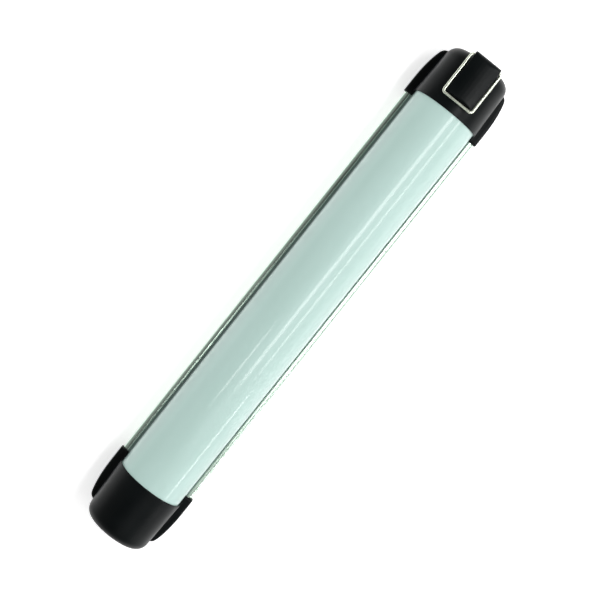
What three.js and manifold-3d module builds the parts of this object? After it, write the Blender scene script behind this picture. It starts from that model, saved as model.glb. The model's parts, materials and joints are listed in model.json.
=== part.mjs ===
// Rechargeable LED light tube: an aluminium channel with an opal half-round diffuser, two black end
// caps, and a wire bail that swings out over one end so that the lamp can hang.
//
// Frame, in millimetres: X runs along the tube with the hook end at +X, Y is across it, and Z points
// out of the diffuser. The lamp lies on its back at Z = 0, and the origin is under its middle.

import * as THREE from "three";
import { mergeVertices } from "three/addons/utils/BufferGeometryUtils.js";
import Module from "manifold-3d";

const wasm = await Module();
wasm.setup();

// ---- Driving dimensions ----

const GAP = 0.3; // clearance between neighbouring pieces
const PAST = 1; // how far a cutter runs past the face it opens

// Along the tube, measured from its middle
const TUBE_X = 122; // ends of the extrusion and the diffuser, inside the caps
const RIM_X = 113.6; // rim of a cap, where the diffuser goes under it
const CHEEK_X = 138.8; // where an ear's cheek ends, short of the cap's face

// What differs between the caps: where the end face is, how round its edge is, and where the tips of
// the ears that hold the rails are. Each cap is drawn with X pointing out of it.
const HOOK_CAP = { endX: 142.5, rounding: 5.7, earX: 111.2 };
const BASE_CAP = { endX: 143.8, rounding: 5.2, earX: 109.4 };

// Section of the tube
const AXIS_Z = 18; // height of the dome's centre line
const DIFFUSER_RADIUS = 17.1;
const DIFFUSER_WALL = 1.4;
const FOOT_HALF_WIDTH = 18.6; // feet of the diffuser, in the grooves of the extrusion
const FOOT_Z = 9.8;
const FOOT_HEIGHT = 1;
const BACK_Z = 2; // outer back face of the extrusion
const BACK_HALF_WIDTH = 14.5;
const RAIL_HALF_WIDTH = 21;
const RAIL_LOW_Z = 9.6;
const RAIL_TOP_Z = 12;
const RAIL_LIP_Y = 18.2; // inner edge of a rail
const FLOOR = 1.6; // floor thickness of the extrusion
const SHELF_HALF_WIDTH = 17.4; // inside of the extrusion, where its sides meet the rails
const FLOOR_HALF_WIDTH = 13.7; // inside of the extrusion, at its floor

// End caps
const CAP_HALF_WIDTH = 22;
const CAP_BACK_HALF_WIDTH = 15.5;
const CAP_FLARE_Z = 9.2; // where the sloping sides of a cap turn upright
const CHEEK_TOP_Z = 13.5;
const CHEEK_ROUNDING = 1.1;
const BARREL_RADIUS = 18.1; // at the rim
const BARREL_END_RADIUS = 17.2; // the barrel tapers to this where its end starts to round over
const CAP_WALL = 1.8;
const WELL_RADIUS = 15.6; // room inside the cap behind the tube's end
const WELL_HALF_FLOOR = 12.6;
const WELL_CHAMFER_Z = 6; // up to here the well's sides slope out from its floor
const WELL_X = 137.5;
const NOSE_RADIUS = 12; // narrower room in the rounded end
const GASKET = 1;
const GASKET_OPENING = 14; // radius of the opening in a gasket
const GASKET_HALF_FLOOR = 11.5;
const GASKET_FLOOR_Z = 4.5;
const GASKET_CHAMFER_Z = 8;

// Hook end: saddle and bail
const SADDLE_HALF_WIDTH = 7.3;
const SADDLE_BACK_X = 120.5;
const SADDLE_FRONT_X = 143.8;
const SADDLE_SEAT_X = 141.7; // floor of the pocket in the cap's face that takes the saddle's leg
const SADDLE_TOP_Z = 38;
const SADDLE_FOOT_Z = 23.5;
const SADDLE_CROWN_RADIUS = 30;
const SADDLE_CORNER = 3;
const SADDLE_SCREW_Z = 27.5;
const BOSS_RADIUS = 3.2;
const BOSS_X = 134.5; // inner end of the boss that takes the saddle's screw
const WIRE_RADIUS = 0.7;
const BAIL_HALF_WIDTH = 8.5;
const BAIL_PIVOT_X = 141.8;
const BAIL_PIVOT_Z = 35.3;
const BAIL_BAR_X = 119.2;
const BAIL_BAR_Z = 37.15;
const BAIL_PIN_Y = 5; // how near the middle the bail's turned-in ends reach

// Base end: button, charge inlet and indicator, with X pointing out of the cap
const BUTTON_RADIUS = 5.5;
const BUTTON_FLANGE_RADIUS = 6.8;
const BUTTON_Z = 22.5;
const DISH_RADIUS = 7.6; // shallow dish round the button, whose top is level with the cap's face
const DISH_DEPTH = 0.7;
const INLET_HALF_WIDTH = 6;
const INLET_LOW_Z = 4.6;
const INLET_TOP_Z = 11.4;
const INLET_FLOOR_X = 137.3;
const FLAP_HALF_WIDTH = 7.7;
const FLAP_LOW_Z = 3.8;
const FLAP_HINGE_X = 142.9;
const FLAP_HINGE_Z = 12.6;
const FLAP_BEAD_RADIUS = 0.8;
const REBATE_X = 142;
const NOTCH_HALF_WIDTH = 3.4; // thumb notch under the flap's pull
const NOTCH_LOW_Z = 2.4;
const SOCKET_Z = 8;
const SOCKET_HALF_WIDTH = 4.5;
const SOCKET_HALF_HEIGHT = 1.6;
const PIPE_RADIUS = 1.4;
const PIPE_Y = 9.2;
const PIPE_Z = 17;
const SWITCH_BOARD_X = 133.8;

// Inside the tube
const CELL_RADIUS = 9.2;
const CELL_LENGTH = 65;
const CELL_PITCH = 66.5;
const CELL_COUNT = 3;
const CELL_MIDDLE_X = 12.5;
const BATTERY_REACH = (CELL_PITCH * (CELL_COUNT - 1) + CELL_LENGTH) / 2; // half the length of all cells
const TAB_THICKNESS = 0.5;
const CELL_Z = 14.4;
const CRADLE_WALL = 1;
const TRAY_HALF_LENGTH = 117;
const TRAY_HALF_WIDTH = 13.2;
const TRAY_TOP_Z = 25;
const TRAY_WALL = 1;
const BOARD = 1; // thickness of a circuit board
const LED_BOARD_HALF_WIDTH = 11.5;
const LED_SIZE = 5;
const LED_HEIGHT = 1.4;
const LED_COUNT = 12;
const LED_PITCH = 18.5;
const DRIVER_X = -104;
const DRIVER_Z = 9;
const LEAD_RADIUS = 0.7;
const CAP_SCREW_X = 117;
const CAP_SCREW_Y = 8;

// Fasteners
const SCREW_RADIUS = 1.1;
const SCREW_HOLE_RADIUS = SCREW_RADIUS + GAP;
const SCREW_HEAD_RADIUS = 2.1;
const SCREW_HEAD_HEIGHT = 0.9;
const HEAD_HOLE_RADIUS = SCREW_HEAD_RADIUS + GAP;
const DRIVE_WIDTH = 0.55;

// ---- Finishes ----

const FINISHES = {
  black_plastic: { color: 0x101312, roughness: 0.42, metalness: 0 },
  soft_black: { color: 0x0b0d0d, roughness: 0.7, metalness: 0 },
  opal: { color: 0xbdd6cd, roughness: 0.18, metalness: 0 },
  aluminium: { color: 0xc3cdc6, roughness: 0.32, metalness: 1 },
  wire: { color: 0xd9dccb, roughness: 0.2, metalness: 1 },
  steel: { color: 0x8f9391, roughness: 0.35, metalness: 1 },
  clear: { color: 0xe4efe9, roughness: 0.1, metalness: 0 },
  board_white: { color: 0xe9eae4, roughness: 0.5, metalness: 0 },
  board_green: { color: 0x1c5a36, roughness: 0.5, metalness: 0 },
  led: { color: 0xe8d668, roughness: 0.35, metalness: 0 },
  cell: { color: 0x2f6f9e, roughness: 0.4, metalness: 0 },
  nickel: { color: 0xb9b5a8, roughness: 0.3, metalness: 1 },
  component: { color: 0x2a2a2c, roughness: 0.6, metalness: 0 },
  rubber: { color: 0x141414, roughness: 0.85, metalness: 0 },
  red_lead: { color: 0xa8201c, roughness: 0.5, metalness: 0 },
  black_lead: { color: 0x191919, roughness: 0.5, metalness: 0 },
};

// ---- Solids ----

// A closed geometry as a solid that can be joined and cut.
function solid(geometry) {
  const bare = geometry.index ? geometry.toNonIndexed() : geometry.clone();
  bare.deleteAttribute("normal");
  bare.deleteAttribute("uv");
  const merged = mergeVertices(bare, 1e-4);
  const mesh = new wasm.Mesh({
    numProp: 3,
    vertProperties: merged.getAttribute("position").array,
    triVerts: new Uint32Array(merged.index.array),
  });
  return new wasm.Manifold(mesh);
}

// A solid as a geometry that a mesh can show.
function geometryOf(body) {
  const mesh = body.getMesh();
  const geometry = new THREE.BufferGeometry();
  geometry.setAttribute("position", new THREE.BufferAttribute(new Float32Array(mesh.vertProperties), 3));
  geometry.setIndex(new THREE.BufferAttribute(new Uint32Array(mesh.triVerts), 1));
  geometry.computeVertexNormals();
  return geometry;
}

function joined(...geometries) {
  return geometries.map(solid).reduce((whole, next) => whole.add(next));
}

function cut(body, ...cutters) {
  return cutters.map(solid).reduce((left, cutter) => left.subtract(cutter), body);
}

const Y_Z_X = new THREE.Matrix4().makeBasis(
  new THREE.Vector3(0, 1, 0),
  new THREE.Vector3(0, 0, 1),
  new THREE.Vector3(1, 0, 0),
);
const X_Z_Y = new THREE.Matrix4().makeBasis(
  new THREE.Vector3(1, 0, 0),
  new THREE.Vector3(0, 0, 1),
  new THREE.Vector3(0, -1, 0),
);

// A section drawn in Y and Z, run along X.
function alongX(section, x0, x1, curveSegments = 20) {
  const settings = { depth: x1 - x0, bevelEnabled: false, curveSegments };
  return new THREE.ExtrudeGeometry(section, settings).applyMatrix4(Y_Z_X).translate(x0, 0, 0);
}

// A side profile drawn in X and Z, run across Y on both sides of the middle.
function acrossY(profile, halfWidth, curveSegments = 6) {
  const settings = { depth: 2 * halfWidth, bevelEnabled: false, curveSegments };
  return new THREE.ExtrudeGeometry(profile, settings).applyMatrix4(X_Z_Y).translate(0, halfWidth, 0);
}

// A plan drawn in X and Y, raised along Z, with its edges rounded by the rounding.
function raised(plan, z0, z1, rounding = 0, curveSegments = 4) {
  const settings = {
    depth: z1 - z0 - 2 * rounding,
    bevelEnabled: rounding > 0,
    bevelThickness: rounding,
    bevelSize: rounding,
    bevelOffset: -rounding,
    bevelSegments: 3,
    curveSegments,
  };
  return new THREE.ExtrudeGeometry(plan, settings).translate(0, 0, z0 + rounding);
}

// A profile of [radius, x] pairs turned about an X line at the given height.
function turned(profile, z, sides = 32, y = 0) {
  const points = profile.map(([radius, x]) => new THREE.Vector2(radius, x));
  return new THREE.LatheGeometry(points, sides).rotateZ(-Math.PI / 2).translate(0, y, z);
}

function block(x0, x1, y0, y1, z0, z1) {
  const box = new THREE.BoxGeometry(x1 - x0, y1 - y0, z1 - z0);
  return box.translate((x0 + x1) / 2, (y0 + y1) / 2, (z0 + z1) / 2);
}

function rodX(radius, x0, x1, y, z, sides = 20) {
  const rod = new THREE.CylinderGeometry(radius, radius, x1 - x0, sides);
  return rod.rotateZ(-Math.PI / 2).translate((x0 + x1) / 2, y, z);
}

function rodY(radius, y0, y1, x, z, sides = 20) {
  const rod = new THREE.CylinderGeometry(radius, radius, y1 - y0, sides);
  return rod.translate(x, (y0 + y1) / 2, z);
}

function rodZ(radius, z0, z1, x, y, sides = 20) {
  const rod = new THREE.CylinderGeometry(radius, radius, z1 - z0, sides);
  return rod.rotateX(Math.PI / 2).translate(x, y, (z0 + z1) / 2);
}

// An outline through the right half's [y, z] corners and their mirror images.
function mirrored(half) {
  const left = half.map(([y, z]) => [-y, z]).reverse();
  return [...half, ...left].map(([y, z]) => new THREE.Vector2(y, z));
}

// A convex outline moved outwards by a distance, corner by corner.
function grown(outline, distance) {
  return outline.map((corner, i) => {
    const before = corner.clone().sub(outline.at(i - 1)).normalize();
    const after = outline[(i + 1) % outline.length].clone().sub(corner).normalize();
    const outwards = new THREE.Vector2(before.y + after.y, -before.x - after.x).normalize();
    const slant = outwards.x * before.y - outwards.y * before.x;
    return corner.clone().addScaledVector(outwards, distance / slant);
  });
}

// ---- Bent wires ----

// A path that stops only at its stations, so that straight runs take one step.
class StationPath extends THREE.Curve {
  constructor(stations) {
    super();
    this.stations = stations;
  }

  indexAt(u) {
    return Math.round(u * (this.stations.length - 1));
  }

  getPointAt(u, target = new THREE.Vector3()) {
    return target.copy(this.stations[this.indexAt(u)]);
  }

  getTangentAt(u, target = new THREE.Vector3()) {
    const here = this.indexAt(u);
    const before = this.stations[Math.max(here - 1, 0)];
    const after = this.stations[Math.min(here + 1, this.stations.length - 1)];
    return target.subVectors(after, before).normalize();
  }
}

// A round wire through the corners given, each rounded by the bend radius.
function bentWire(corners, wireRadius, bend, sides, bendSteps) {
  const points = corners.map(([x, y, z]) => new THREE.Vector3(x, y, z));
  const stations = [points[0]];
  for (let i = 1; i < points.length - 1; i += 1) {
    const towardsLast = points[i - 1].clone().sub(points[i]).normalize();
    const towardsNext = points[i + 1].clone().sub(points[i]).normalize();
    const from = points[i].clone().addScaledVector(towardsLast, bend);
    const to = points[i].clone().addScaledVector(towardsNext, bend);
    stations.push(...new THREE.QuadraticBezierCurve3(from, points[i], to).getPoints(bendSteps));
  }
  stations.push(points.at(-1));
  const ring = Array.from({ length: sides }, (_, k) => {
    const angle = (2 * Math.PI * k) / sides;
    return new THREE.Vector2(wireRadius * Math.cos(angle), wireRadius * Math.sin(angle));
  });
  const settings = { steps: stations.length - 1, extrudePath: new StationPath(stations) };
  return new THREE.ExtrudeGeometry(new THREE.Shape(ring), settings);
}

// ---- The tube ----

// Outline of the extrusion without its hollows: a boat-shaped hull with the rails at its gunwales.
function hullOutline(growth) {
  const half = [
    [BACK_HALF_WIDTH, BACK_Z],
    [RAIL_HALF_WIDTH, RAIL_LOW_Z],
    [RAIL_HALF_WIDTH, RAIL_TOP_Z],
  ];
  return grown(mirrored(half), growth);
}

// Outline of a half-round arch that stands on a flat base.
function archShape(radius, baseZ) {
  const arch = new THREE.Shape();
  arch.moveTo(-radius, baseZ);
  arch.lineTo(radius, baseZ);
  arch.lineTo(radius, AXIS_Z);
  arch.absarc(0, AXIS_Z, radius, 0, Math.PI, false);
  return arch;
}

// The space that the extrusion and the diffuser fill together, grown by a clearance.
function tubeEnvelope(growth, x0, x1) {
  const hull = alongX(new THREE.Shape(hullOutline(growth)), x0, x1);
  const dome = alongX(archShape(DIFFUSER_RADIUS + growth, RAIL_LOW_Z), x0, x1);
  return joined(hull, dome);
}

function baseExtrusion() {
  const wallInnerY = DIFFUSER_RADIUS - DIFFUSER_WALL;
  const lipY = wallInnerY - GAP;
  const lipThickness = 1.2;
  const railChamfer = 0.5;
  const grooveZ = FOOT_Z - GAP;
  const undercutY = FOOT_HALF_WIDTH + GAP;
  const undercutZ = FOOT_Z + FOOT_HEIGHT + GAP;
  const shelfZ = grooveZ - 1.5;
  const floorZ = BACK_Z + FLOOR;
  const half = [
    [BACK_HALF_WIDTH, BACK_Z],
    [RAIL_HALF_WIDTH, RAIL_LOW_Z],
    [RAIL_HALF_WIDTH, RAIL_TOP_Z - railChamfer],
    [RAIL_HALF_WIDTH - railChamfer, RAIL_TOP_Z],
    [RAIL_LIP_Y, RAIL_TOP_Z],
    [RAIL_LIP_Y, undercutZ],
    [undercutY, undercutZ],
    [undercutY, grooveZ],
    [lipY, grooveZ],
    [lipY, RAIL_TOP_Z],
    [lipY - lipThickness, RAIL_TOP_Z],
    [lipY - lipThickness, shelfZ],
    [SHELF_HALF_WIDTH, shelfZ],
    [FLOOR_HALF_WIDTH, floorZ],
  ];
  const channel = solid(alongX(new THREE.Shape(mirrored(half)), -TUBE_X, TUBE_X));
  const holes = [-1, 1].flatMap((end) =>
    [-1, 1].map((side) => {
      const x = end * CAP_SCREW_X;
      return rodZ(SCREW_HOLE_RADIUS, BACK_Z - PAST, floorZ + PAST, x, side * CAP_SCREW_Y);
    }),
  );
  return geometryOf(cut(channel, ...holes));
}

function diffuser() {
  const inner = DIFFUSER_RADIUS - DIFFUSER_WALL;
  const footTop = FOOT_Z + FOOT_HEIGHT;
  const section = new THREE.Shape();
  section.moveTo(FOOT_HALF_WIDTH, FOOT_Z);
  section.lineTo(FOOT_HALF_WIDTH, footTop);
  section.lineTo(DIFFUSER_RADIUS, footTop);
  section.lineTo(DIFFUSER_RADIUS, AXIS_Z);
  section.absarc(0, AXIS_Z, DIFFUSER_RADIUS, 0, Math.PI, false);
  section.lineTo(-DIFFUSER_RADIUS, footTop);
  section.lineTo(-FOOT_HALF_WIDTH, footTop);
  section.lineTo(-FOOT_HALF_WIDTH, FOOT_Z);
  section.lineTo(-inner, FOOT_Z);
  section.lineTo(-inner, AXIS_Z);
  section.absarc(0, AXIS_Z, inner, Math.PI, 0, true);
  section.lineTo(inner, FOOT_Z);
  return alongX(section, -TUBE_X, TUBE_X, 40);
}

// ---- End caps, drawn with X pointing out of the cap ----

// The barrel's outer shape: a rounded, slightly tapered cylinder above the centre line and a block of
// the same plan below it.
function barrel(cap, growth) {
  const rimRadius = BARREL_RADIUS + growth;
  const endRadius = BARREL_END_RADIUS + growth;
  const rounding = cap.rounding + growth;
  const faceX = cap.endX + growth;
  const cornerRadius = endRadius - rounding;
  const cornerX = faceX - rounding;
  const steps = 10;
  const corner = Array.from({ length: steps + 1 }, (_, i) => {
    const angle = (Math.PI / 2) * (i / steps);
    return [cornerRadius + rounding * Math.cos(angle), cornerX + rounding * Math.sin(angle)];
  });
  const dome = turned([[0, RIM_X], [rimRadius, RIM_X], ...corner, [0, faceX]], AXIS_Z, 128);
  const plan = new THREE.Shape();
  plan.moveTo(RIM_X, -rimRadius);
  plan.lineTo(cornerX, -endRadius);
  plan.absarc(cornerX, -cornerRadius, rounding, -Math.PI / 2, 0, false);
  plan.lineTo(faceX, cornerRadius);
  plan.absarc(cornerX, cornerRadius, rounding, 0, Math.PI / 2, false);
  plan.lineTo(RIM_X, rimRadius);
  return joined(dome, raised(plan, 0, AXIS_Z, 0, steps / 2));
}

// The ears and cheeks that clasp the rails, which taper towards the cap's end.
function cheeks(cap) {
  const taperX = 118;
  const bendX = 129;
  const shoulderX = 136;
  const shoulderY = 19.9;
  const cornerY = 18.9;
  const endY = 16;
  const plan = new THREE.Shape();
  plan.moveTo(cap.earX, -CAP_HALF_WIDTH);
  plan.lineTo(taperX, -CAP_HALF_WIDTH);
  plan.quadraticCurveTo(bendX, -CAP_HALF_WIDTH, shoulderX, -shoulderY);
  plan.quadraticCurveTo(CHEEK_X, -cornerY, CHEEK_X, -endY);
  plan.lineTo(CHEEK_X, endY);
  plan.quadraticCurveTo(CHEEK_X, cornerY, shoulderX, shoulderY);
  plan.quadraticCurveTo(bendX, CAP_HALF_WIDTH, taperX, CAP_HALF_WIDTH);
  plan.lineTo(cap.earX, CAP_HALF_WIDTH);
  return raised(plan, -CHEEK_ROUNDING, CHEEK_TOP_Z, CHEEK_ROUNDING, 8);
}

// Everything inside this section is cap: it gives the flat back and the sloping sides.
function capSection(cap) {
  const half = [
    [CAP_BACK_HALF_WIDTH, 0],
    [CAP_HALF_WIDTH, CAP_FLARE_Z],
    [CAP_HALF_WIDTH, 2 * AXIS_Z + PAST],
  ];
  return alongX(new THREE.Shape(mirrored(half)), cap.earX - PAST, cap.endX + PAST);
}

// Room behind the tube's end: a wide well, then a narrower nose inside the rounded end.
function capRoom(cap) {
  const seatX = TUBE_X + GAP + GASKET + GAP;
  const wellSection = new THREE.Shape();
  wellSection.moveTo(-WELL_HALF_FLOOR, CAP_WALL);
  wellSection.lineTo(WELL_HALF_FLOOR, CAP_WALL);
  wellSection.lineTo(WELL_RADIUS, WELL_CHAMFER_Z);
  wellSection.lineTo(WELL_RADIUS, AXIS_Z);
  wellSection.absarc(0, AXIS_Z, WELL_RADIUS, 0, Math.PI, false);
  wellSection.lineTo(-WELL_RADIUS, WELL_CHAMFER_Z);
  const well = alongX(wellSection, seatX - PAST, WELL_X);
  const nose = alongX(archShape(NOSE_RADIUS, CAP_WALL), WELL_X - PAST, cap.endX - CAP_WALL);
  return joined(well, nose).add(tubeEnvelope(GAP, cap.earX - PAST, seatX));
}

function capScrewHoles() {
  return [-1, 1].flatMap((side) => [
    rodZ(SCREW_HOLE_RADIUS, -PAST, BACK_Z + PAST, CAP_SCREW_X, side * CAP_SCREW_Y),
    rodZ(HEAD_HOLE_RADIUS, -PAST, SCREW_HEAD_HEIGHT + GAP, CAP_SCREW_X, side * CAP_SCREW_Y),
  ]);
}

function plainCap(cap) {
  const outside = barrel(cap, 0).add(solid(cheeks(cap))).intersect(solid(capSection(cap)));
  return cut(outside.subtract(capRoom(cap)), ...capScrewHoles());
}

// A pocket in the face of the hook end's cap, open at the top, for the saddle's leg.
function saddlePocket(floorX, clearance) {
  const halfWidth = SADDLE_HALF_WIDTH + clearance;
  const lowZ = SADDLE_FOOT_Z - clearance;
  return block(floorX, HOOK_CAP.endX + 2 * PAST, -halfWidth, halfWidth, lowZ, 2 * AXIS_Z);
}

// The hook end's cap has a boss behind its end wall for the saddle's screw.
function hookEndCap() {
  const boss = rodX(BOSS_RADIUS, BOSS_X, HOOK_CAP.endX - PAST, 0, SADDLE_SCREW_Z);
  const bore = rodX(SCREW_HOLE_RADIUS, BOSS_X - PAST, HOOK_CAP.endX + PAST, 0, SADDLE_SCREW_Z);
  const body = plainCap(HOOK_CAP).add(solid(boss));
  return geometryOf(cut(body, bore, saddlePocket(SADDLE_SEAT_X, GAP)));
}

// The base end's cap has openings for the button, the indicator and the charge inlet.
function baseEndCap() {
  const around = 1.5;
  const outsideX = BASE_CAP.endX + PAST;
  const surround = block(
    INLET_FLOOR_X - CAP_WALL,
    BASE_CAP.endX - PAST,
    -INLET_HALF_WIDTH - around,
    INLET_HALF_WIDTH + around,
    INLET_LOW_Z - around,
    INLET_TOP_Z + around,
  );
  const inlet = block(
    INLET_FLOOR_X,
    outsideX,
    -INLET_HALF_WIDTH,
    INLET_HALF_WIDTH,
    INLET_LOW_Z,
    INLET_TOP_Z,
  );
  const rebate = block(
    REBATE_X,
    outsideX,
    -FLAP_HALF_WIDTH - GAP,
    FLAP_HALF_WIDTH + GAP,
    FLAP_LOW_Z - GAP,
    FLAP_HINGE_Z + FLAP_BEAD_RADIUS + GAP,
  );
  const notch = block(REBATE_X, outsideX, -NOTCH_HALF_WIDTH, NOTCH_HALF_WIDTH, NOTCH_LOW_Z, SOCKET_Z);
  const socketSlot = block(
    INLET_FLOOR_X - 2 * CAP_WALL,
    BASE_CAP.endX,
    -SOCKET_HALF_WIDTH - GAP,
    SOCKET_HALF_WIDTH + GAP,
    SOCKET_Z - SOCKET_HALF_HEIGHT - GAP,
    SOCKET_Z + SOCKET_HALF_HEIGHT + GAP,
  );
  const buttonHole = rodX(BUTTON_RADIUS + GAP, WELL_X, outsideX, 0, BUTTON_Z, 32);
  const dishProfile = [
    [0, BASE_CAP.endX - DISH_DEPTH],
    [BUTTON_RADIUS + GAP, BASE_CAP.endX - DISH_DEPTH],
    [DISH_RADIUS, BASE_CAP.endX],
    [DISH_RADIUS, outsideX],
    [0, outsideX],
  ];
  const dish = turned(dishProfile, BUTTON_Z, 48);
  const pipeHole = rodX(PIPE_RADIUS + GAP, WELL_X, outsideX, PIPE_Y, PIPE_Z);
  const body = plainCap(BASE_CAP).add(solid(surround));
  return geometryOf(cut(body, inlet, rebate, notch, socketSlot, buttonHole, dish, pipeHole));
}

// A flat seal between the tube's end and the seat inside the cap.
function endGasket() {
  const x0 = TUBE_X + GAP;
  const x1 = x0 + GASKET;
  const opening = new THREE.Shape();
  opening.moveTo(-GASKET_HALF_FLOOR, GASKET_FLOOR_Z);
  opening.lineTo(GASKET_HALF_FLOOR, GASKET_FLOOR_Z);
  opening.lineTo(GASKET_OPENING, GASKET_CHAMFER_Z);
  opening.lineTo(GASKET_OPENING, AXIS_Z);
  opening.absarc(0, AXIS_Z, GASKET_OPENING, 0, Math.PI, false);
  opening.lineTo(-GASKET_OPENING, GASKET_CHAMFER_Z);
  return geometryOf(cut(tubeEnvelope(0, x0, x1), alongX(opening, x0 - PAST, x1 + PAST)));
}

// ---- Hook end ----

// A crowned block on the barrel's crown, with a leg that wraps down over the cap's end.
function hookSaddle() {
  const edge = 0.9;
  const sunkZ = AXIS_Z + BARREL_RADIUS - 3;
  const profile = new THREE.Shape();
  profile.moveTo(SADDLE_BACK_X, sunkZ);
  profile.lineTo(SADDLE_BACK_X, SADDLE_TOP_Z - edge);
  profile.lineTo(SADDLE_BACK_X + edge, SADDLE_TOP_Z);
  profile.lineTo(SADDLE_FRONT_X - SADDLE_CORNER, SADDLE_TOP_Z);
  const cornerX = SADDLE_FRONT_X - SADDLE_CORNER;
  const cornerZ = SADDLE_TOP_Z - SADDLE_CORNER;
  profile.absarc(cornerX, cornerZ, SADDLE_CORNER, Math.PI / 2, 0, true);
  profile.lineTo(SADDLE_FRONT_X, SADDLE_FOOT_Z + edge);
  profile.lineTo(SADDLE_FRONT_X - edge, SADDLE_FOOT_Z);
  profile.lineTo(SADDLE_SEAT_X - PAST, SADDLE_FOOT_Z);
  profile.lineTo(BAIL_PIVOT_X - 2 * SADDLE_CORNER, sunkZ);
  const crownZ = SADDLE_TOP_Z - SADDLE_CROWN_RADIUS;
  const crown = rodX(SADDLE_CROWN_RADIUS, SADDLE_BACK_X - PAST, SADDLE_FRONT_X + PAST, 0, crownZ, 96);
  const shell = solid(acrossY(profile, SADDLE_HALF_WIDTH)).intersect(solid(crown));
  const seat = cut(barrel(HOOK_CAP, GAP), saddlePocket(SADDLE_SEAT_X + GAP, PAST));
  const pinHoleRadius = WIRE_RADIUS + GAP;
  const pinHoles = [-1, 1].map((side) => {
    const middle = side * SADDLE_HALF_WIDTH;
    const depth = SADDLE_HALF_WIDTH - BAIL_PIN_Y + GAP;
    return rodY(pinHoleRadius, middle - depth, middle + depth, BAIL_PIVOT_X, BAIL_PIVOT_Z);
  });
  const screwHole = rodX(SCREW_HOLE_RADIUS, SADDLE_SEAT_X, SADDLE_FRONT_X + PAST, 0, SADDLE_SCREW_Z);
  const headX = SADDLE_FRONT_X - SCREW_HEAD_HEIGHT - GAP;
  const headHole = rodX(HEAD_HOLE_RADIUS, headX, SADDLE_FRONT_X + PAST, 0, SADDLE_SCREW_Z);
  return geometryOf(cut(shell.subtract(seat), ...pinHoles, screwHole, headHole));
}

function wireBail() {
  const corners = [
    [BAIL_PIVOT_X, BAIL_PIN_Y, BAIL_PIVOT_Z],
    [BAIL_PIVOT_X, BAIL_HALF_WIDTH, BAIL_PIVOT_Z],
    [BAIL_BAR_X, BAIL_HALF_WIDTH, BAIL_BAR_Z],
    [BAIL_BAR_X, -BAIL_HALF_WIDTH, BAIL_BAR_Z],
    [BAIL_PIVOT_X, -BAIL_HALF_WIDTH, BAIL_PIVOT_Z],
    [BAIL_PIVOT_X, -BAIL_PIN_Y, BAIL_PIVOT_Z],
  ];
  const bendRadius = 1.5;
  return bentWire(corners, WIRE_RADIUS, bendRadius, 12, 6);
}

// A countersunk screw with a cross slot. Its head's top is at the origin and its tip points to -X.
function screw(length) {
  const profile = [
    [0, -length],
    [SCREW_RADIUS * 0.4, -length],
    [SCREW_RADIUS, 1.5 - length],
    [SCREW_RADIUS, -SCREW_HEAD_HEIGHT],
    [SCREW_HEAD_RADIUS, -0.25],
    [SCREW_HEAD_RADIUS, 0],
    [0, 0],
  ];
  const slotDepth = 0.6;
  const reach = 1.3;
  const half = DRIVE_WIDTH / 2;
  const upright = block(-slotDepth, PAST, -half, half, -reach, reach);
  const across = block(-slotDepth, PAST, -reach, reach, -half, half);
  return geometryOf(cut(solid(turned(profile, 0, 20)), upright, across));
}

// ---- Base end, drawn with X pointing out of the cap ----

function powerButton() {
  const topX = BASE_CAP.endX;
  const flangeX = topX - CAP_WALL - GAP;
  const profile = [
    [0, flangeX - 1],
    [BUTTON_FLANGE_RADIUS, flangeX - 1],
    [BUTTON_FLANGE_RADIUS, flangeX],
    [BUTTON_RADIUS, flangeX],
    [BUTTON_RADIUS, topX - 1.1],
    [BUTTON_RADIUS - 0.4, topX - 0.5],
    [BUTTON_RADIUS - 1.2, topX - 0.2],
    [0, topX],
  ];
  return turned(profile, BUTTON_Z, 32);
}

// A rubber cover for the charge inlet, hung from a round bead along its top edge.
function chargeFlap() {
  const plateX = REBATE_X + GAP;
  const bead = rodY(FLAP_BEAD_RADIUS, -FLAP_HALF_WIDTH, FLAP_HALF_WIDTH, FLAP_HINGE_X, FLAP_HINGE_Z, 16);
  const plate = block(plateX, plateX + 1, -FLAP_HALF_WIDTH, FLAP_HALF_WIDTH, FLAP_LOW_Z, FLAP_HINGE_Z);
  const pullHalfWidth = NOTCH_HALF_WIDTH - GAP;
  const pullX = plateX + 0.5;
  const pullTopZ = FLAP_LOW_Z + 1.2;
  const pull = block(pullX, BASE_CAP.endX, -pullHalfWidth, pullHalfWidth, FLAP_LOW_Z, pullTopZ);
  return geometryOf(joined(bead, plate, pull));
}

// The charge inlet's metal shell with its contact tongue.
function chargeSocket() {
  const backX = SWITCH_BOARD_X + BOARD + GAP;
  const mouthX = INLET_FLOOR_X + GAP;
  const sheet = 0.35;
  const tongueHalfWidth = 3.3;
  const upTo = (halfWidth, halfHeight, x0, x1) =>
    block(x0, x1, -halfWidth, halfWidth, SOCKET_Z - halfHeight, SOCKET_Z + halfHeight);
  const shell = solid(upTo(SOCKET_HALF_WIDTH, SOCKET_HALF_HEIGHT, backX, mouthX));
  const mouth = upTo(SOCKET_HALF_WIDTH - sheet, SOCKET_HALF_HEIGHT - sheet, backX + 0.6, mouthX + PAST);
  const tongue = upTo(tongueHalfWidth, sheet, backX + sheet, mouthX - 0.6);
  return geometryOf(cut(shell, mouth).add(solid(tongue)));
}

function tactSwitch() {
  const backX = SWITCH_BOARD_X + BOARD + GAP;
  const housing = block(backX, backX + 3.4, -3, 3, BUTTON_Z - 3, BUTTON_Z + 3);
  const plunger = rodX(1.7, backX + 3, backX + 4.4, 0, BUTTON_Z, 16);
  return geometryOf(joined(housing, plunger));
}

// ---- Battery, light engine and electronics ----

function cell() {
  const half = CELL_LENGTH / 2;
  const profile = [
    [0, -half],
    [CELL_RADIUS - 0.5, -half],
    [CELL_RADIUS, 0.5 - half],
    [CELL_RADIUS, half - 1.3],
    [CELL_RADIUS - 0.6, half - 0.7],
    [3, half - 0.7],
    [3, half],
    [0, half],
  ];
  return turned(profile, 0, 28);
}

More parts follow.
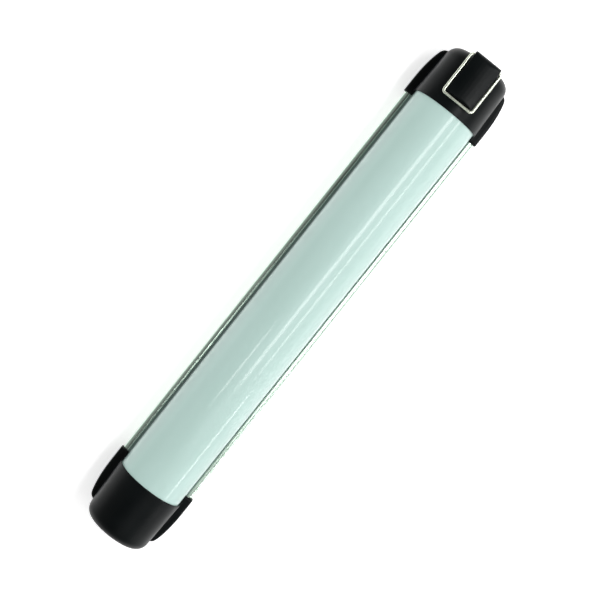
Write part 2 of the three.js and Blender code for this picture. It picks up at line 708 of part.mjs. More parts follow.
// A trough that carries the cells along the channel's floor.
function cellCradle(x0, x1) {
  const inner = CELL_RADIUS + GAP;
  const outer = inner + CRADLE_WALL;
  const lift = THREE.MathUtils.degToRad(20);
  const section = new THREE.Shape();
  section.absarc(0, CELL_Z, outer, Math.PI + lift, 2 * Math.PI - lift, false);
  section.absarc(0, CELL_Z, inner, 2 * Math.PI - lift, Math.PI + lift, true);
  return alongX(section, x0, x1, 10);
}

function ledTray() {
  const half = [
    [TRAY_HALF_WIDTH, BACK_Z + FLOOR + GAP],
    [TRAY_HALF_WIDTH, TRAY_TOP_Z],
  ];
  const inside = [
    [TRAY_HALF_WIDTH - TRAY_WALL, 0],
    [TRAY_HALF_WIDTH - TRAY_WALL, TRAY_TOP_Z - TRAY_WALL],
  ];
  const sheet = solid(alongX(new THREE.Shape(mirrored(half)), -TRAY_HALF_LENGTH, TRAY_HALF_LENGTH));
  const room = alongX(new THREE.Shape(mirrored(inside)), -TUBE_X, TUBE_X);
  return geometryOf(cut(sheet, room));
}

function ledBoard() {
  const z0 = TRAY_TOP_Z + GAP;
  const halfLength = TRAY_HALF_LENGTH - 1;
  return block(-halfLength, halfLength, -LED_BOARD_HALF_WIDTH, LED_BOARD_HALF_WIDTH, z0, z0 + BOARD);
}

function capacitor() {
  const profile = [
    [0, 0],
    [3.5, 0],
    [4, 0.5],
    [4, 8],
    [3.5, 8.5],
    [0, 8.5],
  ];
  return turned(profile, 0, 20).rotateY(-Math.PI / 2);
}

function inductor() {
  const base = block(-5.5, 5.5, -5.5, 5.5, 0, 1);
  const winding = rodZ(5.2, 0.5, 5, 0, 0, 24);
  return geometryOf(joined(base, winding));
}

function lead(corners) {
  return bentWire(corners, LEAD_RADIUS, 2, 8, 4);
}

// ---- Assembly ----

function piece(name, geometry, finish) {
  const mesh = new THREE.Mesh(geometry, new THREE.MeshStandardMaterial(FINISHES[finish]));
  mesh.name = name;
  return mesh;
}

function placed(mesh, x, y, z) {
  mesh.position.set(x, y, z);
  return mesh;
}

// Two screws per cap, heads down, on the back of the given end.
function capScrews(endName) {
  const headZ = GAP;
  return [-1, 1].map((side, i) => {
    const mesh = piece(endName + "_cap_screw_" + (i + 1), screw(5), "steel");
    mesh.rotation.y = Math.PI / 2;
    return placed(mesh, CAP_SCREW_X, side * CAP_SCREW_Y, headZ);
  });
}

function hookEnd() {
  const end = new THREE.Group();
  const saddleScrew = piece("saddle_screw", screw(9), "steel");
  end.add(
    piece("hook_end_cap", hookEndCap(), "black_plastic"),
    piece("hook_end_gasket", endGasket(), "rubber"),
    piece("hook_saddle", hookSaddle(), "black_plastic"),
    piece("wire_bail", wireBail(), "wire"),
    placed(saddleScrew, SADDLE_FRONT_X - GAP, 0, SADDLE_SCREW_Z),
    ...capScrews("hook"),
  );
  return end;
}

function baseEnd() {
  const end = new THREE.Group();
  const boardX = SWITCH_BOARD_X + BOARD;
  const switchBoard = block(SWITCH_BOARD_X, boardX, -10.4, 10.4, 5, 26.5);
  const indicatorLed = block(boardX + GAP, boardX + 1.1, PIPE_Y - 0.8, PIPE_Y + 0.8, 16.2, 17.8);
  const lightPipe = rodX(PIPE_RADIUS, boardX + 1.1 + GAP, BASE_CAP.endX, PIPE_Y, PIPE_Z, 16);
  end.add(
    piece("base_end_cap", baseEndCap(), "black_plastic"),
    piece("base_end_gasket", endGasket(), "rubber"),
    piece("power_button", powerButton(), "soft_black"),
    piece("charge_flap", chargeFlap(), "rubber"),
    piece("charge_socket", chargeSocket(), "nickel"),
    piece("switch_board", switchBoard, "board_green"),
    piece("tact_switch", tactSwitch(), "component"),
    piece("indicator_led", indicatorLed, "led"),
    piece("indicator_light_pipe", lightPipe, "clear"),
    ...capScrews("base"),
  );
  end.rotation.z = Math.PI;
  return end;
}

function battery() {
  const pack = new THREE.Group();
  const first = CELL_MIDDLE_X - (CELL_PITCH * (CELL_COUNT - 1)) / 2;
  for (let i = 0; i < CELL_COUNT; i += 1) {
    const x = first + i * CELL_PITCH;
    pack.add(placed(piece("cell_" + (i + 1), cell(), "cell"), x, 0, CELL_Z));
    if (i > 0) {
      const link = rodX(4.5, -GAP, GAP, 0, 0);
      pack.add(placed(piece("cell_link_" + i, link, "nickel"), x - CELL_PITCH / 2, 0, CELL_Z));
    }
  }
  const x0 = CELL_MIDDLE_X - BATTERY_REACH;
  const x1 = CELL_MIDDLE_X + BATTERY_REACH;
  const tab = block(0, TAB_THICKNESS, -4, 4, CELL_Z - 4, CELL_Z + 7);
  pack.add(
    piece("cell_cradle", cellCradle(x0 - 2, x1 + 2), "component"),
    placed(piece("battery_tab_minus", tab, "nickel"), x0 - GAP - TAB_THICKNESS, 0, 0),
    placed(piece("battery_tab_plus", tab.clone(), "nickel"), x1 + GAP, 0, 0),
  );
  return pack;
}

function lightEngine() {
  const engine = new THREE.Group();
  engine.add(piece("led_tray", ledTray(), "aluminium"), piece("led_board", ledBoard(), "board_white"));
  const chipZ = TRAY_TOP_Z + GAP + BOARD + GAP;
  const half = LED_SIZE / 2;
  for (let i = 0; i < LED_COUNT; i += 1) {
    const name = "led_chip_" + String(i + 1).padStart(2, "0");
    const chip = piece(name, block(-half, half, -half, half, 0, LED_HEIGHT), "led");
    engine.add(placed(chip, (i - (LED_COUNT - 1) / 2) * LED_PITCH, 0, chipZ));
  }
  return engine;
}

function electronics() {
  const group = new THREE.Group();
  const halfLength = 14;
  const boardTop = DRIVER_Z + BOARD;
  const partZ = boardTop + GAP;
  const leadZ = partZ + LEAD_RADIUS;
  const board = block(-halfLength, halfLength, -10.5, 10.5, 0, BOARD);
  const controller = block(-2.5, 2.5, -2.5, 2.5, 0, 1);
  group.add(
    placed(piece("driver_board", board, "board_green"), DRIVER_X, 0, DRIVER_Z),
    placed(piece("driver_inductor", inductor(), "component"), DRIVER_X - 1, 0, partZ),
    placed(piece("driver_capacitor", capacitor(), "component"), DRIVER_X + 9, -4.8, partZ),
    placed(piece("driver_controller", controller, "component"), DRIVER_X + 8, 5, partZ),
  );
  const floorZ = BACK_Z + FLOOR + GAP;
  [-1, 1].forEach((side, i) => {
    const standoff = rodZ(2, floorZ, DRIVER_Z - GAP, DRIVER_X, side * 6);
    group.add(piece("board_standoff_" + (i + 1), standoff, "component"));
  });
  const tabReach = BATTERY_REACH + 2 * GAP + TAB_THICKNESS;
  const tabX = CELL_MIDDLE_X + tabReach;
  const minusX = CELL_MIDDLE_X - tabReach;
  const tabZ = CELL_Z + 5;
  const sideY = CELL_RADIUS + 2 * LEAD_RADIUS + 0.1;
  const edgeX = DRIVER_X - halfLength;
  const loopX = -TUBE_X + 2;
  const ledTopZ = TRAY_TOP_Z + GAP + BOARD + GAP + LEAD_RADIUS;
  group.add(
    piece(
      "lead_battery_plus",
      lead([
        [tabX, 0, tabZ],
        [tabX + 2.5, 0, tabZ],
        [tabX + 2.5, sideY, tabZ - 3],
        [DRIVER_X + 12, sideY, tabZ - 3],
        [DRIVER_X + 12, 8.8, leadZ],
        [DRIVER_X + 6, 8.8, leadZ],
      ]),
      "red_lead",
    ),
    piece(
      "lead_battery_minus",
      lead([
        [minusX, 0, tabZ],
        [minusX - 2.5, 0, tabZ],
        [minusX - 2.5, -3, leadZ + 9.5],
        [DRIVER_X + 1, -9.3, leadZ + 9.5],
        [DRIVER_X + 1, -9.3, leadZ - 0.3],
      ]),
      "black_lead",
    ),
  );
  [-1, 1].forEach((side) => {
    const name = side > 0 ? "lead_led_plus" : "lead_led_minus";
    const corners = [
      [edgeX + 4, side * 7.5, leadZ],
      [loopX, side * 7.5, leadZ],
      [loopX, side * 7.5, ledTopZ],
      [1 - TRAY_HALF_LENGTH + 3, side * 7.5, ledTopZ],
    ];
    group.add(piece(name, lead(corners), side > 0 ? "red_lead" : "black_lead"));
  });
  const switchLead = lead([
    [edgeX + 5, 0, leadZ],
    [edgeX - 4, 0, leadZ],
    [edgeX - 7, 0, leadZ + 4],
    [GAP - SWITCH_BOARD_X, 0, leadZ + 4],
  ]);
  group.add(piece("lead_switch", switchLead, "black_lead"));
  return group;
}

const lightTube = new THREE.Group();
lightTube.add(
  piece("base_extrusion", baseExtrusion(), "aluminium"),
  piece("diffuser", diffuser(), "opal"),
  hookEnd(),
  baseEnd(),
  battery(),
  lightEngine(),
  electronics(),
);

export default lightTube;
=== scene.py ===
import json
import math

import bmesh
import bpy
from mathutils import Matrix, Vector


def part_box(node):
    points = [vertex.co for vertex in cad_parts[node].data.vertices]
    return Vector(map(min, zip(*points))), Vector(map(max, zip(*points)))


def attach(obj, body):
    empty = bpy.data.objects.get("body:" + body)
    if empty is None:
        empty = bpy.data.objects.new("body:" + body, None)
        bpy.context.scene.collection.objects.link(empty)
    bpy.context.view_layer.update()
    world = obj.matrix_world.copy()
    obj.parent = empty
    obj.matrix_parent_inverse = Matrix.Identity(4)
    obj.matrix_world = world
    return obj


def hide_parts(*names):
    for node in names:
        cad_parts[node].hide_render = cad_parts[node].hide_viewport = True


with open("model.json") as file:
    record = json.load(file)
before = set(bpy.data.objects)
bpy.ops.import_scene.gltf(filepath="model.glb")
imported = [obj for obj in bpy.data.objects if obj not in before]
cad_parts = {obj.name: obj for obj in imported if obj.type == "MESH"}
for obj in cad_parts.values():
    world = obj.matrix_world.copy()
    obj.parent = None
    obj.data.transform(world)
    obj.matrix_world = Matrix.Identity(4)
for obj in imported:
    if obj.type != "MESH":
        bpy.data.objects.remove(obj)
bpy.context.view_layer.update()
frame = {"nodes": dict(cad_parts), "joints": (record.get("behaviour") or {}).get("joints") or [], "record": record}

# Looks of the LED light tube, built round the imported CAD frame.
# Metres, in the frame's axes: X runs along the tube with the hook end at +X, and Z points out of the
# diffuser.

MM = 0.001
scene = bpy.context.scene

# Section of the tube
DOME_RADIUS = 17.1 * MM
DOME_WALL = 1.4 * MM
DOME_STEPS = 96
FOOT_HEIGHT = 1.0 * MM
CLEARANCE = 0.3 * MM  # between the diffuser and the channel's grooves
LEDGE_INSET = 0.55 * MM  # the diffuser's ledge beside a rail, from the edge of its foot
LEDGE_DROP = 0.35 * MM  # and from the top of the rail
RAIL_INSET = 0.4 * MM  # how far a rail reaches over the diffuser's foot
RAIL_DEPTH = 2.4 * MM  # from the top of a rail to where the sloping side starts
CROWN_Y = 2.3 * MM  # width of the rounding along the outside of a rail
CROWN_Z = 1.7 * MM  # and its height
CROWN_STEPS = 12
LIP_THICKNESS = 1.2 * MM
SHELF_THICKNESS = 1.5 * MM  # under the groove for the diffuser's foot
SHELF_Y = 17.4 * MM  # where the shelf's underside meets the sloping side
BED_Y = 13.7 * MM  # half width of the channel's inner floor
BED_THICKNESS = 1.6 * MM
BACK_Y = 14.5 * MM  # half width of its flat back
SCREW_HOLE_RADIUS = 1.4 * MM
DRILL_SPARE = 4 * MM  # how much longer a drill is than its screw
ALONG_STEPS = 24

# Bail
WIRE_RADIUS = 0.7 * MM
WIRE_SIDES = 28
BAIL_CORNER = 1.5 * MM
BAIL_CORNER_STEPS = 10
BAIL_PIN_Y = 5.0 * MM  # how near the middle its turned-in ends reach

# Moulded pieces: CAD node, piece, voxel in millimetres, smoothing passes and share of faces kept
MOULDED = (
    ("hook_end_cap", "hook_cap_shell", 0.25, 7, 0.45),
    ("base_end_cap", "base_cap_shell", 0.25, 7, 0.45),
    ("hook_saddle", "saddle_block", 0.18, 8, 0.6),
    ("power_button", "button_cap", 0.14, 6, 0.6),
    ("charge_flap", "inlet_flap", 0.14, 6, 0.6),
)
COARSER = 1.0

# Camera and lights
CAMERA_PLACE = Vector((34.3, 42.8, 686.2)) * MM
CAMERA_HEADING = 51.5  # degrees from the picture's right to the tube
CAMERA_LEAN = Vector((0.0794, 0.0200, 0.0016))  # rotation vector from straight down, in radians
CAMERA_LENS = 83.75
CAMERA_SENSOR = 36.0
FLOOR_HALF_SIZE = 4.0
PANEL_PLACE = Vector((0.0, -0.385, 1.0))
PANEL_SIZE = (1.6, 0.63)
PANEL_RADIANCE = 0.40
STRIP_DISTANCE = 0.69
# Strip lights: degrees from straight up towards -Y, the two ends along X, width and radiance
STRIPS = {
    "long_strip": (23, -0.13, 0.60, 0.12, 8.5),
    "second_strip": (51, -0.11, 0.60, 0.07, 8.0),
    "short_strip": (-9, -0.157, -0.073, 0.06, 8.5),
    "low_strip": (71, -0.32, -0.13, 0.05, 14.0),
}

SLOT_OF = {entry["node"]: entry["material_slot"] for entry in frame["record"]["subparts"]}
BODY_OF = {
    node: body
    for body, members in frame["record"]["behaviour"]["bodies"].items()
    for node in members
}


# ---- Materials ----


class Finish:
    """A Principled material whose pattern nodes are added and linked by short calls."""

    def __init__(self, name, **sockets):
        self.material = bpy.data.materials.new(name)
        self.material.use_nodes = True
        self.tree = self.material.node_tree
        self.surface = self.tree.nodes["Principled BSDF"]
        for socket, value in sockets.items():
            self.surface.inputs[socket.replace("_", " ")].default_value = value
        self.place = self.tree.nodes.new("ShaderNodeTexCoord").outputs["Object"]
        self.relief = None

    def node(self, kind, settings=None, **sockets):
        """A new node. A socket given as a value is set, and one given as a socket is linked."""
        made = self.tree.nodes.new(kind)
        for key, value in (settings or {}).items():
            setattr(made, key, value)
        for key, value in sockets.items():
            socket = made.inputs[key.replace("_", " ")]
            if isinstance(value, bpy.types.NodeSocket):
                self.tree.links.new(value, socket)
            else:
                socket.default_value = value
        return made

    def noise(self, per_metre, detail=3.0, roughness=0.5):
        """Noise with the given number of features per metre along X, Y and Z."""
        stretched = self.node("ShaderNodeMapping", Vector=self.place, Scale=per_metre)
        noise = self.node(
            "ShaderNodeTexNoise",
            Vector=stretched.outputs["Vector"],
            Scale=1.0,
            Detail=detail,
            Roughness=roughness,
        )
        return noise.outputs["Fac"]

    def height(self):
        """Height above the plane of the caps' backs."""
        return self.node("ShaderNodeSeparateXYZ", Vector=self.place).outputs["Z"]

    def span(self, pattern, low, high, from_low=0.32, from_high=0.68):
        """A pattern's usual range turned into the range from low to high."""
        mapped = self.node(
            "ShaderNodeMapRange",
            Value=pattern,
            From_Min=from_low,
            From_Max=from_high,
            To_Min=low,
            To_Max=high,
        )
        return mapped.outputs["Result"]

    def mixed(self, pattern, first, second):
        """Two colours, one where the pattern is low and one where it is high."""
        ramp = self.node("ShaderNodeValToRGB", Fac=pattern)
        for element, place, colour in zip(ramp.color_ramp.elements, (0.32, 0.68), (first, second)):
            element.position = place
            element.color = (*colour, 1.0)
        return ramp.outputs["Color"]

    def paint(self, socket, value):
        self.tree.links.new(value, self.surface.inputs[socket])

    def bump(self, pattern, depth, strength=1.0):
        """Relief that follows a pattern, on top of any relief made before."""
        under = {} if self.relief is None else {"Normal": self.relief}
        made = self.node("ShaderNodeBump", Height=pattern, Distance=depth, Strength=strength, **under)
        self.relief = made.outputs["Normal"]
        self.tree.links.new(self.relief, self.surface.inputs["Normal"])


def evenly(per_metre):
    return (per_metre, per_metre, per_metre)


def dimmed(colour, share):
    return tuple(share * part for part in colour)


def opal_plastic():
    """Glossy opal plastic: milky and faintly clouded, with a painted glow that stands in for light, strong over
    the dome and fading to almost none at its foot, which leaves painted shade there.
    """
    finish = Finish(
        "opal_plastic",
        IOR=1.5,
        Specular_IOR_Level=0.2,
        Subsurface_Weight=0.25,
        Subsurface_Radius=(0.8, 1.0, 0.9),
        Subsurface_Scale=0.003,
        Coat_Weight=0.42,
        Coat_Roughness=0.10,
        Coat_IOR=1.55,
        # Colour of the painted glow, whose strength is set below
        Emission_Color=(0.430, 0.600, 0.550, 1.0),
    )
    cloud = finish.noise((14, 70, 70), detail=2.0)
    finish.paint("Base Color", finish.mixed(cloud, (0.29, 0.385, 0.36), (0.325, 0.42, 0.40)))
    finish.paint("Roughness", finish.span(finish.noise(evenly(260)), 0.30, 0.40))
    # Painted glow standing in for light: emission rises with height from almost none at the foot (painted shade
    # along the grooves) to full over the dome
    finish.paint("Emission Strength", finish.span(finish.height(), 0.02, 0.56, 12 * MM, 30 * MM))
    finish.bump(finish.noise((1, 200, 200), detail=1.0), 0.000004, 0.4)
    return finish.material


def moulded_black(name, colour, roughness, grain_per_metre, grain_depth, gloss):
    """Moulded black plastic: a spark-eroded grain and slightly polished patches from handling."""
    finish = Finish(name, IOR=1.48, Specular_IOR_Level=gloss)
    patches = finish.noise(evenly(85), detail=5.0)
    finish.paint("Base Color", finish.mixed(patches, dimmed(colour, 0.7), colour))
    finish.paint("Roughness", finish.span(patches, roughness - 0.05, roughness + 0.05))
    finish.bump(finish.noise(evenly(grain_per_metre), detail=2.0), grain_depth, 0.6)
    return finish.material


def drawn_aluminium():
    """Clear anodised extrusion, with fine die lines along it."""
    finish = Finish("drawn_aluminium", Metallic=1.0)
    lines = finish.noise((1.5, 1300, 1300), detail=3.0, roughness=0.6)
    haze = finish.noise((25, 120, 120), detail=3.0)
    finish.paint("Base Color", finish.mixed(lines, (0.56, 0.70, 0.60), (0.62, 0.77, 0.66)))
    finish.paint("Roughness", finish.span(haze, 0.20, 0.30))
    finish.bump(lines, 0.000006, 0.4)
    return finish.material


def plated(name, colour, roughness, marks_per_metre=600.0):
    """Drawn or plated metal with faint handling marks."""
    finish = Finish(name, Metallic=1.0)
    marks = finish.noise(evenly(marks_per_metre), detail=4.0)
    finish.paint("Base Color", finish.mixed(marks, dimmed(colour, 0.82), colour))
    finish.paint("Roughness", finish.span(marks, roughness - 0.05, roughness + 0.06))
    finish.bump(marks, 0.00001, 0.35)
    return finish.material


def mottled(name, colour, roughness, per_metre=400.0, contrast=0.85):
    """Moulded or lacquered plastic, for inner parts, circuit boards and leads."""
    finish = Finish(name, IOR=1.46)
    mottle = finish.noise(evenly(per_metre))
    finish.paint("Base Color", finish.mixed(mottle, dimmed(colour, contrast), colour))
    finish.paint("Roughness", finish.span(mottle, roughness - 0.05, roughness + 0.07))
    finish.bump(mottle, 0.00002, 0.3)
    return finish.material


MATERIALS = {
    "opal": opal_plastic(),
    "black_plastic": moulded_black("satin_black", (0.0030, 0.0048, 0.0052), 0.36, 2200, 0.00003, 0.14),
    "soft_black": moulded_black("soft_touch_black", (0.007, 0.008, 0.008), 0.62, 1600, 0.00003, 0.4),
    "rubber": moulded_black("rubber_black", (0.010, 0.010, 0.010), 0.72, 1300, 0.00003, 0.35),
    "aluminium": drawn_aluminium(),
    "wire": plated("bright_wire", (0.88, 0.93, 0.78), 0.27, marks_per_metre=220.0),
    "screw_steel": plated("zinc_plate", (0.60, 0.62, 0.64), 0.32),
    "nickel": plated("nickel_strip", (0.66, 0.63, 0.57), 0.26),
    "clear": mottled("clear_lens", (0.80, 0.88, 0.84), 0.12, contrast=0.97),
    "board_white": mottled("white_mask", (0.86, 0.87, 0.83), 0.42, contrast=0.95),
    "board_green": mottled("green_mask", (0.03, 0.20, 0.08), 0.35),
    "led": mottled("phosphor", (0.85, 0.70, 0.20), 0.30, per_metre=1500),
    "cell_wrap": mottled("cell_sleeve", (0.05, 0.20, 0.42), 0.28, per_metre=90),
    "component": mottled("component_black", (0.03, 0.03, 0.033), 0.50, per_metre=900),
    "red_lead": mottled("red_insulation", (0.50, 0.04, 0.03), 0.38),
    "black_lead": mottled("black_insulation", (0.02, 0.02, 0.02), 0.38),
}


# ---- Mesh work ----


def put_on(obj, material):
    obj.data.materials.clear()
    obj.data.materials.append(material)


def new_object(name, mesh):
    """An object from a bmesh, which is freed."""
    data = bpy.data.meshes.new(name)
    mesh.to_mesh(data)
    mesh.free()
    obj = bpy.data.objects.new(name, data)
    scene.collection.objects.link(obj)
    return obj


def shade_smooth(obj, crease=None):
    """Smooth shading. With a crease angle, edges sharper than that stay sharp."""
    obj.data.polygons.foreach_set("use_smooth", [True] * len(obj.data.polygons))
    if crease is not None:
        obj.data.set_sharp_from_angle(angle=math.radians(crease))


def stands_for(obj, node):
    """Gives a piece that replaces a CAD node that node's material, slot and body."""
    put_on(obj, MATERIALS[SLOT_OF[node]])
    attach(obj, BODY_OF[node])
    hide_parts(node)


def apply_modifiers(obj):
    bpy.context.view_layer.update()
    evaluated = obj.evaluated_get(bpy.context.evaluated_depsgraph_get())
    made = bpy.data.meshes.new_from_object(evaluated)
    obj.modifiers.clear()
    obj.data = made


def welded_copy(node, name):
    """A free copy of a CAD node's mesh, with its facets' corners merged."""
    mesh = bmesh.new()
    mesh.from_mesh(frame["nodes"][node].data)
    bmesh.ops.remove_doubles(mesh, verts=mesh.verts, dist=1e-6)
    return new_object(name, mesh)


def moulded(node, name, voxel, passes, keep):
    """A CAD shell as it comes from the mould, with every edge and inside corner slightly rounded."""
    obj = welded_copy(node, name)
    remesh = obj.modifiers.new("voxels", "REMESH")
    remesh.mode = "VOXEL"
    remesh.voxel_size = voxel
    smooth = obj.modifiers.new("rounding", "SMOOTH")
    smooth.factor = 0.5
    smooth.iterations = passes
    thin = obj.modifiers.new("thinning", "DECIMATE")
    thin.ratio = keep
    apply_modifiers(obj)
    shade_smooth(obj)
    stands_for(obj, node)


def edge_broken(node, width):
    """Breaks a CAD node's edges with a small bevel."""
    obj = frame["nodes"][node]
    weld = obj.modifiers.new("weld", "WELD")
    weld.merge_threshold = 1e-6
    flatten = obj.modifiers.new("whole_faces", "DECIMATE")
    flatten.decimate_type = "DISSOLVE"
    flatten.angle_limit = math.radians(0.5)
    bevel = obj.modifiers.new("broken_edges", "BEVEL")
    bevel.width = width
    bevel.segments = 2
    bevel.limit_method = "ANGLE"
    bevel.angle_limit = math.radians(30)
    bevel.harden_normals = True
    shade_smooth(obj)


def ease_edges(obj, width, sharper_than):
    """Rounds a piece's sharp edges slightly, and leaves the bevel in its mesh."""
    ease = obj.modifiers.new("eased_edges", "BEVEL")
    ease.width = width
    ease.segments = 2
    ease.limit_method = "ANGLE"
    ease.angle_limit = math.radians(sharper_than)
    apply_modifiers(obj)


def drill(obj, screws, radius):
    """Upright clearance holes for screws, right through a piece."""
    mesh = bmesh.new()
    for screw in screws:
        low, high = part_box(screw)
        bmesh.ops.create_cone(
            mesh,
            cap_ends=True,
            segments=32,
            radius1=radius,
            radius2=radius,
            depth=high.z - low.z + DRILL_SPARE,
            matrix=Matrix.Translation((low + high) / 2),
        )
    drills = new_object("drills", mesh)
    holes = obj.modifiers.new("holes", "BOOLEAN")
    holes.object = drills
    holes.solver = "EXACT"
    apply_modifiers(obj)
    bpy.data.objects.remove(drills)


# ---- Pieces ----


def dress_cad_nodes():
    for node, obj in frame["nodes"].items():
        put_on(obj, MATERIALS[SLOT_OF[node]])
        shade_smooth(obj, crease=35)


def mirrored(points):
    """The (y, z) points of the other side of a section, in reverse order."""
    return [(-y, z) for y, z in reversed(points)]


def skinned(name, mesh, rings):
    """An object whose skin joins rings of vertices one to the next, with both ends closed."""
    for ring, following in zip(rings, rings[1:]):
        for k in range(len(ring)):
            after = (k + 1) % len(ring)
            mesh.faces.new((ring[k], ring[after], following[after], following[k]))
    for ring in (rings[0], rings[-1]):
        mesh.faces.new(ring)
    bmesh.ops.recalc_face_normals(mesh, faces=mesh.faces)
    return new_object(name, mesh)


def run_along(name, section, x0, x1):
    """A closed section of (y, z) points run along X."""
    mesh = bmesh.new()
    stations = [x0 + (x1 - x0) * k / ALONG_STEPS for k in range(ALONG_STEPS + 1)]
    rings = [[mesh.verts.new((x, y, z)) for y, z in section] for x in stations]
    return skinned(name, mesh, rings)


def opal_dome():
    """The diffuser: a half-round trough of even wall with a foot along each side, its cut ends eased."""
    low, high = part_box("diffuser")
    foot_y = high.y
    foot_top = low.z + FOOT_HEIGHT
    ledge_y = foot_y - LEDGE_INSET
    ledge_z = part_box("base_extrusion")[1].z - LEDGE_DROP
    inner = DOME_RADIUS - DOME_WALL
    axis_z = high.z - DOME_RADIUS

    def arch(radius, turns):
        return [(radius * math.cos(turn), axis_z + radius * math.sin(turn)) for turn in turns]

    turns = [math.pi * step / DOME_STEPS for step in range(DOME_STEPS + 1)]
    outside = [(foot_y, low.z), (foot_y, foot_top), (ledge_y, foot_top)]
    outside += [(ledge_y, ledge_z), (DOME_RADIUS, ledge_z)]
    section = [*outside, *arch(DOME_RADIUS, turns), *mirrored(outside)]
    section += [(-inner, low.z), *arch(inner, reversed(turns)), (inner, low.z)]
    obj = run_along("opal_dome", section, low.x, high.x)
    ease_edges(obj, width=0.15 * MM, sharper_than=40)
    shade_smooth(obj, crease=40)
    stands_for(obj, "diffuser")


def rail_channel():
    """The aluminium extrusion: a boat-shaped channel whose rails are rounded over along the outside."""
    low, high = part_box("base_extrusion")
    foot_low, foot_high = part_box("diffuser")
    rail_lip_y = foot_high.y - RAIL_INSET
    groove_y = foot_high.y + CLEARANCE
    groove_z = foot_low.z - CLEARANCE
    undercut_z = foot_low.z + FOOT_HEIGHT + CLEARANCE
    lip_y = DOME_RADIUS - DOME_WALL - CLEARANCE
    lip_inner_y = lip_y - LIP_THICKNESS
    shelf_z = groove_z - SHELF_THICKNESS
    turns = [math.pi / 2 * step / CROWN_STEPS for step in range(CROWN_STEPS + 1)]
    crown = [
        (high.y - CROWN_Y * (1 - math.cos(turn)), high.z - CROWN_Z * (1 - math.sin(turn)))
        for turn in turns
    ]
    half = [(BACK_Y, low.z), (high.y, high.z - RAIL_DEPTH), *crown]
    half += [(rail_lip_y, high.z), (rail_lip_y, undercut_z), (groove_y, undercut_z)]
    half += [(groove_y, groove_z), (lip_y, groove_z), (lip_y, high.z)]
    half += [(lip_inner_y, high.z), (lip_inner_y, shelf_z)]
    half += [(SHELF_Y, shelf_z), (BED_Y, low.z + BED_THICKNESS)]
    obj = run_along("rail_channel", half + mirrored(half), low.x, high.x)
    ease_edges(obj, width=0.18 * MM, sharper_than=30)
    drill(obj, [node for node in frame["nodes"] if "cap_screw" in node], SCREW_HOLE_RADIUS)
    shade_smooth(obj, crease=40)
    stands_for(obj, "base_extrusion")


def bent_path(corners, radius, steps):
    """Points along a path whose inner corners are rounded by true arcs."""
    points = [corners[0]]
    for before, corner, after in zip(corners, corners[1:], corners[2:]):
        back = (before - corner).normalized()
        on = (after - corner).normalized()
        half = back.angle(on) / 2
        middle = corner + (back + on).normalized() * (radius / math.sin(half))
        start = corner + back * (radius / math.tan(half)) - middle
        axis = start.cross(-back).normalized()
        turn = math.pi - 2 * half
        for step in range(steps + 1):
            points.append(middle + Matrix.Rotation(turn * step / steps, 3, axis) @ start)
    points.append(corners[-1])
    return points


def round_wire(name, points, radius):
    """A round wire along a path."""
    mesh = bmesh.new()
    rings = []
    turns = [2 * math.pi * n / WIRE_SIDES for n in range(WIRE_SIDES)]
    side = (points[1] - points[0]).orthogonal().normalized()
    for k, point in enumerate(points):
        direction = (points[min(k + 1, len(points) - 1)] - points[max(k - 1, 0)]).normalized()
        side = (side - direction * side.dot(direction)).normalized()
        up = direction.cross(side)
        ring = [point + radius * (side * math.cos(turn) + up * math.sin(turn)) for turn in turns]
        rings.append([mesh.verts.new(place) for place in ring])
    return skinned(name, mesh, rings)


def bail_loop():
    """The wire bail: two legs and a bar, its ends turned in to pivot in the saddle."""
    low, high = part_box("wire_bail")
    pivot = Vector(next(j for j in frame["joints"] if j["name"] == "bail_swing")["pos_m"])
    leg_y = high.y - WIRE_RADIUS
    bar_x = low.x + WIRE_RADIUS
    bar_z = high.z - WIRE_RADIUS
    corners = [Vector((pivot.x, BAIL_PIN_Y, pivot.z)), Vector((pivot.x, leg_y, pivot.z))]
    corners += [Vector((bar_x, leg_y, bar_z)), Vector((bar_x, -leg_y, bar_z))]
    corners += [Vector((pivot.x, -leg_y, pivot.z)), Vector((pivot.x, -BAIL_PIN_Y, pivot.z))]
    path = bent_path(corners, BAIL_CORNER, BAIL_CORNER_STEPS)
    obj = round_wire("bail_loop", path, WIRE_RADIUS)
    shade_smooth(obj, crease=50)
    stands_for(obj, "wire_bail")


dress_cad_nodes()
for screw in [node for node in frame["nodes"] if "screw" in node]:
    edge_broken(screw, width=0.05 * MM)
opal_dome()
rail_channel()
bail_loop()
for cad_node, piece, voxel_mm, passes, keep in MOULDED:
    moulded(cad_node, piece, voxel_mm * MM * COARSER, passes, keep)


# ---- Camera, floor and light ----


def make_camera():
    """Nearly straight above the tube, which lies slanting across the picture, hook end at upper right."""
    data = bpy.data.cameras.new("camera")
    camera = bpy.data.objects.new("camera", data)
    scene.collection.objects.link(camera)
    scene.camera = camera
    data.sensor_width = CAMERA_SENSOR
    data.lens = CAMERA_LENS
    data.clip_start = 0.01
    data.clip_end = 20.0
    heading = math.radians(CAMERA_HEADING)
    right = Vector((math.cos(heading), -math.sin(heading), 0.0))
    up = Vector((math.sin(heading), math.cos(heading), 0.0))
    straight_down = Matrix((right, up, Vector((0.0, 0.0, 1.0))))
    lean = Matrix.Rotation(CAMERA_LEAN.length, 3, CAMERA_LEAN.normalized())
    pose = (lean @ straight_down).transposed().to_4x4()
    pose.translation = CAMERA_PLACE
    camera.matrix_world = pose


def make_floor():
    """A pale table that glows a little, so that it stays white under the object."""
    mesh = bmesh.new()
    bmesh.ops.create_grid(mesh, x_segments=1, y_segments=1, size=FLOOR_HALF_SIZE)
    floor = new_object("floor", mesh)
    finish = Finish(
        "pale_floor",
        Roughness=0.9,
        Specular_IOR_Level=0.0,
        Emission_Color=(1.0, 1.0, 1.0, 1.0),
        Emission_Strength=0.62,
    )
    grain = finish.noise(evenly(7))
    finish.paint("Base Color", finish.mixed(grain, (0.93, 0.93, 0.93), (0.95, 0.95, 0.95)))
    put_on(floor, finish.material)


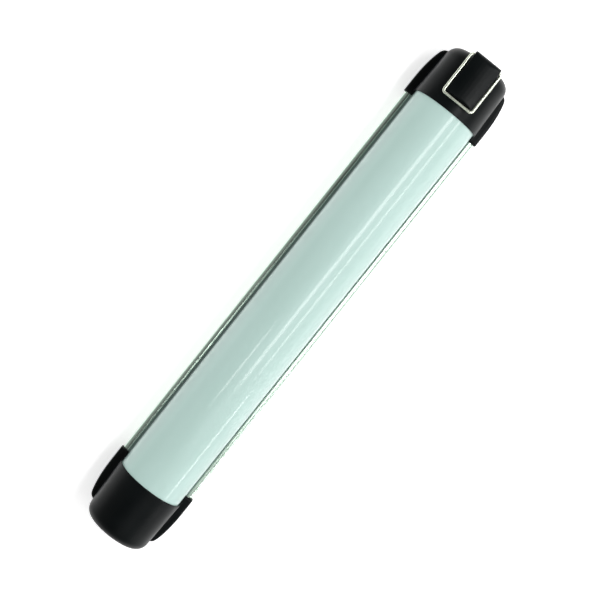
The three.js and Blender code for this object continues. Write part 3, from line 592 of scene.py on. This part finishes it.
def soft_light(name, place, size, radiance, target):
    """A rectangular soft light of the given radiance, its first side along X, facing the target."""
    data = bpy.data.lights.new(name, "AREA")
    data.shape = "RECTANGLE"
    data.size, data.size_y = size
    data.energy = radiance * math.pi * size[0] * size[1]
    obj = bpy.data.objects.new(name, data)
    scene.collection.objects.link(obj)
    back = (place - target).normalized()
    up = back.cross(Vector((1.0, 0.0, 0.0))).normalized()
    pose = Matrix((up.cross(back), up, back)).transposed().to_4x4()
    pose.translation = place
    obj.matrix_world = pose
    obj.visible_camera = False


def strip_light(name, angle, x0, x1, width, radiance):
    """A strip light along the tube, turned by an angle from straight up towards -Y."""
    turned = math.radians(angle)
    middle = Vector(((x0 + x1) / 2, 0.0, 0.0))
    away = Vector((0.0, -math.sin(turned), math.cos(turned)))
    soft_light(name, middle + STRIP_DISTANCE * away, (x1 - x0, width), radiance, middle)


def make_world():
    """A pale surround: dark straight overhead, brighter low down, and a little brighter towards -Y."""
    world = bpy.data.worlds.new("studio")
    scene.world = world
    world.use_nodes = True
    tree = world.node_tree
    parts = tree.nodes.new("ShaderNodeSeparateXYZ")
    direction = tree.nodes.new("ShaderNodeTexCoord").outputs["Generated"]
    tree.links.new(direction, parts.inputs["Vector"])

    def eased(axis, start, end, first, last):
        """A level that eases from first to last as the direction's part goes from start to end."""
        node = tree.nodes.new("ShaderNodeMapRange")
        node.interpolation_type = "SMOOTHSTEP"
        ends = {"From Min": start, "From Max": end, "To Min": first, "To Max": last}
        for socket, value in ends.items():
            node.inputs[socket].default_value = value
        tree.links.new(parts.outputs[axis], node.inputs["Value"])
        return node.outputs["Result"]

    def product(first, second):
        node = tree.nodes.new("ShaderNodeMath")
        node.operation = "MULTIPLY"
        tree.links.new(first, node.inputs[0])
        tree.links.new(second, node.inputs[1])
        return node.outputs["Value"]

    overhead = eased("Z", 0.70, 0.98, 1.0, 0.16)
    horizon = eased("Z", 0.0, 0.30, 2.0, 1.0)
    across = eased("Y", -0.7, 0.7, 0.37, 0.34)
    background = tree.nodes["Background"]
    background.inputs["Color"].default_value = (1.0, 1.0, 1.0, 1.0)
    tree.links.new(product(product(overhead, horizon), across), background.inputs["Strength"])


def make_lights():
    below = Vector((PANEL_PLACE.x, PANEL_PLACE.y, 0.0))
    soft_light("overhead_panel", PANEL_PLACE, PANEL_SIZE, PANEL_RADIANCE, below)
    for name, strip in STRIPS.items():
        strip_light(name, *strip)
    scene.view_settings.view_transform = "Standard"


make_camera()
make_floor()
make_world()
make_lights()
